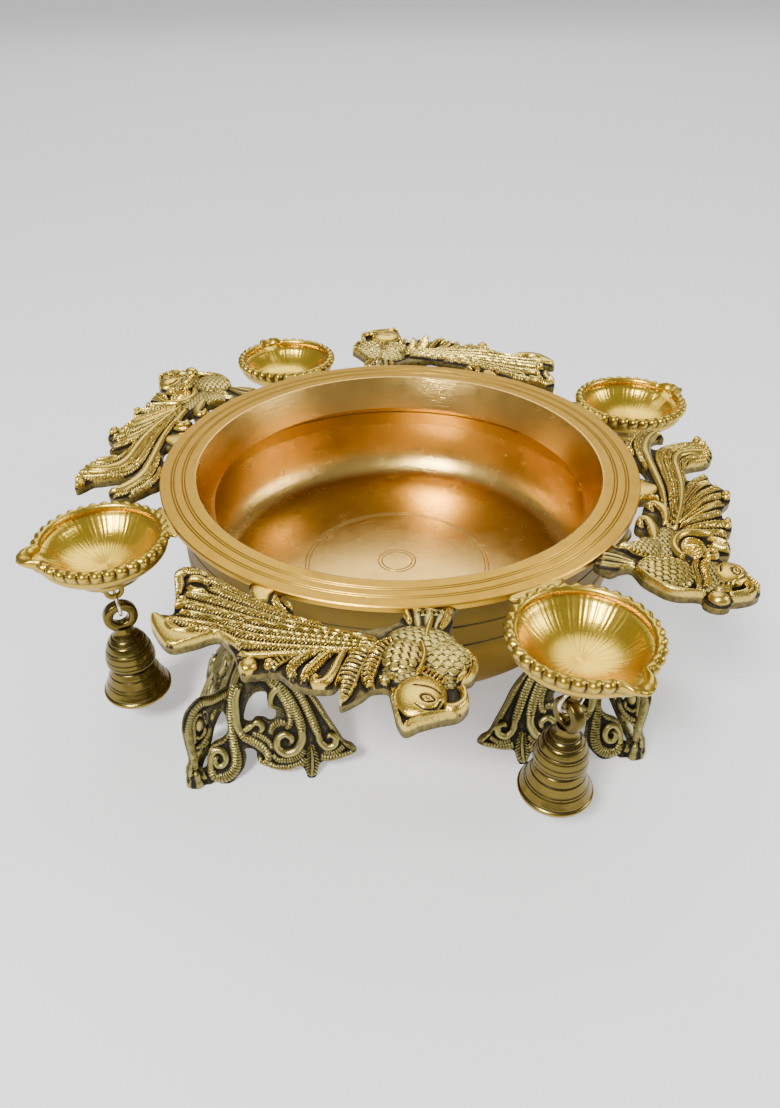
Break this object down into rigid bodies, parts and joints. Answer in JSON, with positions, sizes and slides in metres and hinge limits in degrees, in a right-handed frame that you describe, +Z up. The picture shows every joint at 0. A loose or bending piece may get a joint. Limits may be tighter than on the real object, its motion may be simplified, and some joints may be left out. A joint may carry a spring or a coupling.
{
  "type": "decorative diya bowl",
  "caption": "Wide brass bowl on filigree corner feet, its rim ringed with oil lamps and flat peacocks, a small bell hanging from a wire ring under each lamp.",
  "frame": {"origin": "on the bowl's axis, at floor level", "axes": "+Z up; lamps stand on +X, +Y, -X and -Y, peacocks at 45 degrees between them, feet at 22.5 degrees past each lamp"},
  "size_m": [0.4722, 0.4722, 0.143],
  "materials": {
    "bowl_brass": "satin turned brass, brushed round the rim",
    "lamp_brass": "polished inside, satin outside",
    "peacock_brass": "antique gold with dark recesses",
    "bell_brass": "turned brass with a dark patina",
    "clapper_brass": "dull brass",
    "ring_wire": "bright drawn wire",
    "foot_brass": "antique cast brass, dark recesses"
  },
  "bodies": {
    "root": {"bowl": "bowl_brass", "lamp_1": "lamp_brass", "peacock_1": "peacock_brass", "foot_1": "foot_brass", "lamp_2": "lamp_brass", "peacock_2": "peacock_brass", "foot_2": "foot_brass", "lamp_3": "lamp_brass", "peacock_3": "peacock_brass", "foot_3": "foot_brass", "lamp_4": "lamp_brass", "peacock_4": "peacock_brass", "foot_4": "foot_brass"},
    "ring_1": {"ring_1": "ring_wire"},
    "bell_1": {"bell_1": "bell_brass"},
    "clapper_1": {"clapper_1": "clapper_brass"},
    "ring_2": {"ring_2": "ring_wire"},
    "bell_2": {"bell_2": "bell_brass"},
    "clapper_2": {"clapper_2": "clapper_brass"},
    "ring_3": {"ring_3": "ring_wire"},
    "bell_3": {"bell_3": "bell_brass"},
    "clapper_3": {"clapper_3": "clapper_brass"},
    "ring_4": {"ring_4": "ring_wire"},
    "bell_4": {"bell_4": "bell_brass"},
    "clapper_4": {"clapper_4": "clapper_brass"}
  },
  "joints": [
    {"name": "ring_1_swing", "type": "hinge", "parent": "root", "child": "ring_1", "pos_m": [0.1893, 0, 0.10025], "axis": [0, -1, 0], "range_deg": [-20, 60]},
    {"name": "bell_1_sway", "type": "hinge", "parent": "ring_1", "child": "bell_1", "pos_m": [0.1893, 0, 0.09275], "axis": [1, 0, 0], "range_deg": [-40, 40]},
    {"name": "clapper_1_swing", "type": "hinge", "parent": "bell_1", "child": "clapper_1", "pos_m": [0.1893, 0, 0.06382], "axis": [0, -1, 0], "range_deg": [-15, 15]},
    {"name": "ring_2_swing", "type": "hinge", "parent": "root", "child": "ring_2", "pos_m": [0, 0.1893, 0.10025], "axis": [1, 0, 0], "range_deg": [-20, 60]},
    {"name": "bell_2_sway", "type": "hinge", "parent": "ring_2", "child": "bell_2", "pos_m": [0, 0.1893, 0.09275], "axis": [0, 1, 0], "range_deg": [-40, 40]},
    {"name": "clapper_2_swing", "type": "hinge", "parent": "bell_2", "child": "clapper_2", "pos_m": [0, 0.1893, 0.06382], "axis": [1, 0, 0], "range_deg": [-15, 15]},
    {"name": "ring_3_swing", "type": "hinge", "parent": "root", "child": "ring_3", "pos_m": [-0.1893, 0, 0.10025], "axis": [0, 1, 0], "range_deg": [-20, 60]},
    {"name": "bell_3_sway", "type": "hinge", "parent": "ring_3", "child": "bell_3", "pos_m": [-0.1893, 0, 0.09275], "axis": [-1, 0, 0], "range_deg": [-40, 40]},
    {"name": "clapper_3_swing", "type": "hinge", "parent": "bell_3", "child": "clapper_3", "pos_m": [-0.1893, 0, 0.06382], "axis": [0, 1, 0], "range_deg": [-15, 15]},
    {"name": "ring_4_swing", "type": "hinge", "parent": "root", "child": "ring_4", "pos_m": [0, -0.1893, 0.10025], "axis": [-1, 0, 0], "range_deg": [-20, 60]},
    {"name": "bell_4_sway", "type": "hinge", "parent": "ring_4", "child": "bell_4", "pos_m": [0, -0.1893, 0.09275], "axis": [0, -1, 0], "range_deg": [-40, 40]},
    {"name": "clapper_4_swing", "type": "hinge", "parent": "bell_4", "child": "clapper_4", "pos_m": [0, -0.1893, 0.06382], "axis": [-1, 0, 0], "range_deg": [-15, 15]}
  ]
}
